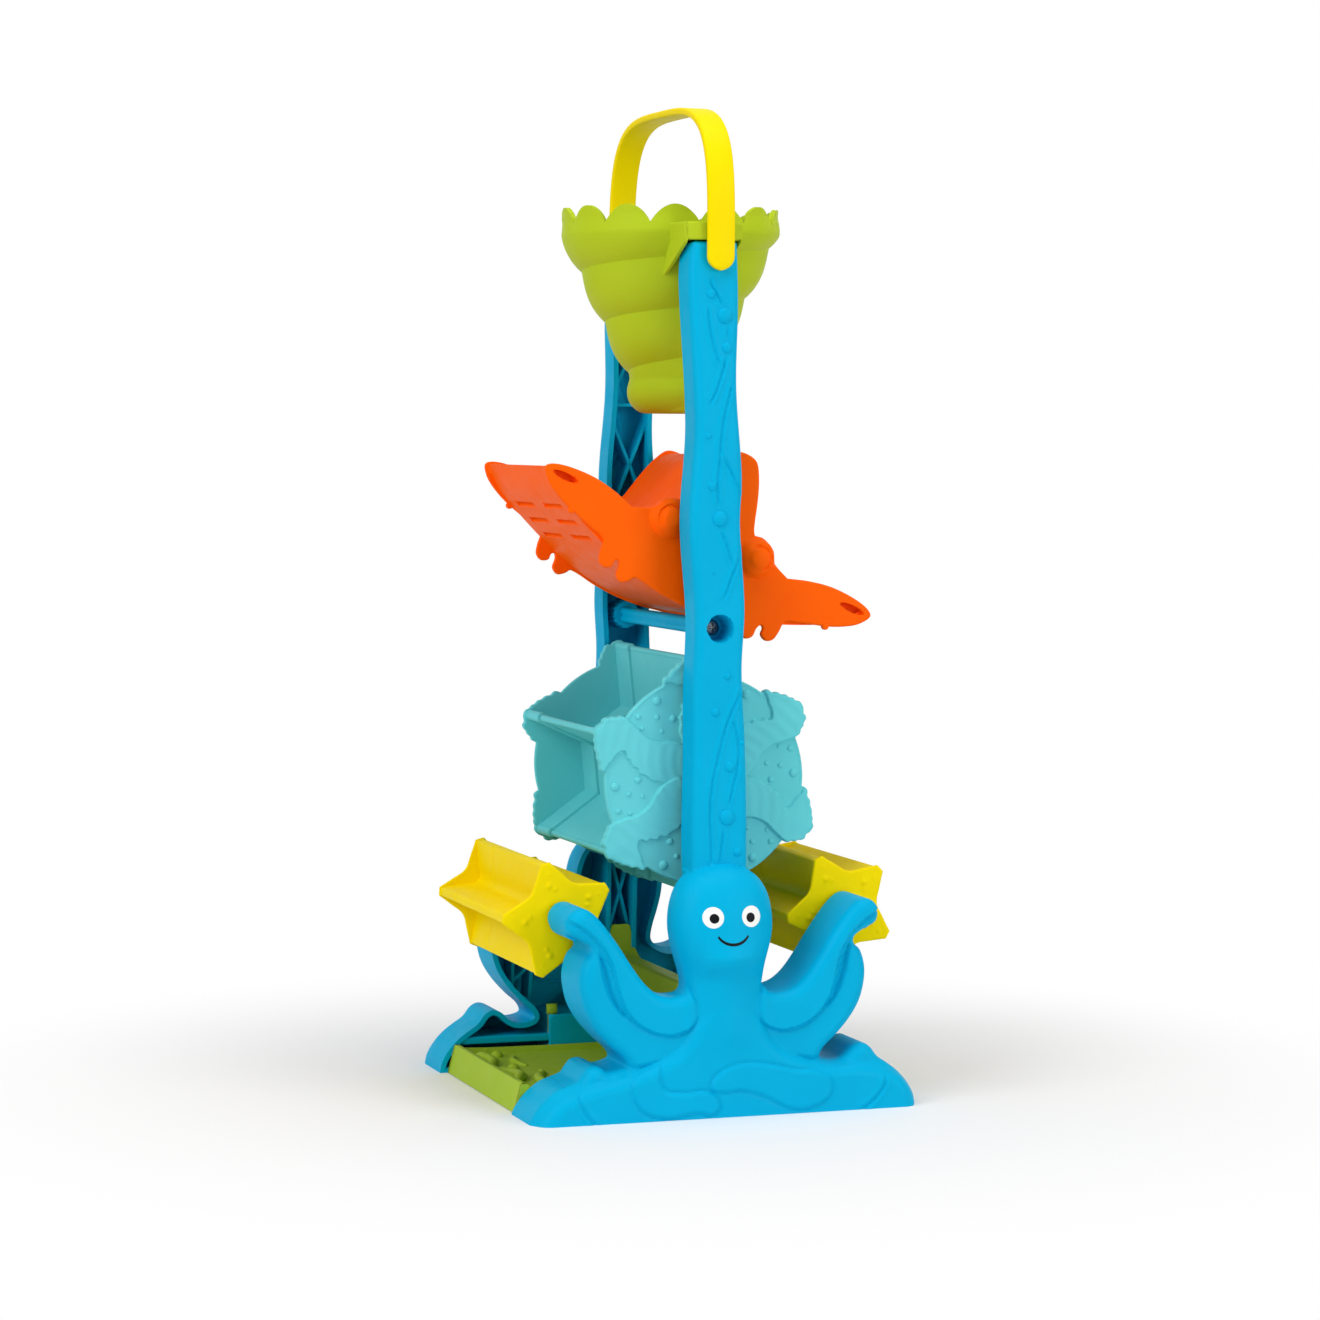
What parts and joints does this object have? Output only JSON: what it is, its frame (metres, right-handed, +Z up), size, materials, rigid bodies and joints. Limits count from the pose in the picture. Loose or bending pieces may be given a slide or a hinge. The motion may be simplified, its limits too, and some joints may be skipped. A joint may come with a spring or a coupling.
{
  "type": "sand play tower",
  "caption": "Standing sand mill: a spiral funnel drops sand onto a crab seesaw, a paddle wheel and star wheels between two octopus end frames over a ramped tray, with a strap handle.",
  "frame": {"origin": "centre of the footprint at floor level", "axes": "+Z up, -Y towards the front frame, X along the width of the frames"},
  "size_m": [0.1751, 0.171, 0.4222],
  "materials": {
    "blue_plastic": "satin moulded",
    "lime_plastic": "satin moulded",
    "leaf_plastic": "satin moulded",
    "yellow_plastic": "satin moulded",
    "orange_plastic": "satin moulded",
    "aqua_plastic": "satin moulded",
    "screw_steel": "plated"
  },
  "bodies": {
    "stand": {"front_frame": "blue_plastic", "rear_frame": "blue_plastic", "tie_bar": "blue_plastic", "tie_screw_front": "screw_steel", "tie_screw_rear": "screw_steel", "base_tray": "leaf_plastic", "funnel": "lime_plastic"},
    "handle": {"handle": "yellow_plastic"},
    "seesaw": {"seesaw": "orange_plastic"},
    "wheel": {"wheel_front_half": "aqua_plastic", "wheel_rear_half": "aqua_plastic"},
    "star_left": {"star_left_front_half": "yellow_plastic", "star_left_rear_half": "yellow_plastic"},
    "star_right": {"star_right_front_half": "yellow_plastic", "star_right_rear_half": "yellow_plastic"}
  },
  "joints": [
    {"name": "handle_swing", "type": "hinge", "parent": "stand", "child": "handle", "pos_m": [0, 0, 0.3575], "axis": [0, 1, 0], "range_deg": [-110, 110]},
    {"name": "seesaw_tip", "type": "hinge", "parent": "stand", "child": "seesaw", "pos_m": [0, 0, 0.229], "axis": [0, 1, 0], "range_deg": [-47, 0]},
    {"name": "wheel_spin", "type": "hinge", "parent": "stand", "child": "wheel", "pos_m": [0, 0, 0.138], "axis": [0, 1, 0], "continuous": true},
    {"name": "star_left_spin", "type": "hinge", "parent": "stand", "child": "star_left", "pos_m": [-0.0635, 0, 0.0803], "axis": [0, 1, 0], "continuous": true},
    {"name": "star_right_spin", "type": "hinge", "parent": "stand", "child": "star_right", "pos_m": [0.0635, 0, 0.0803], "axis": [0, 1, 0], "continuous": true}
  ]
}
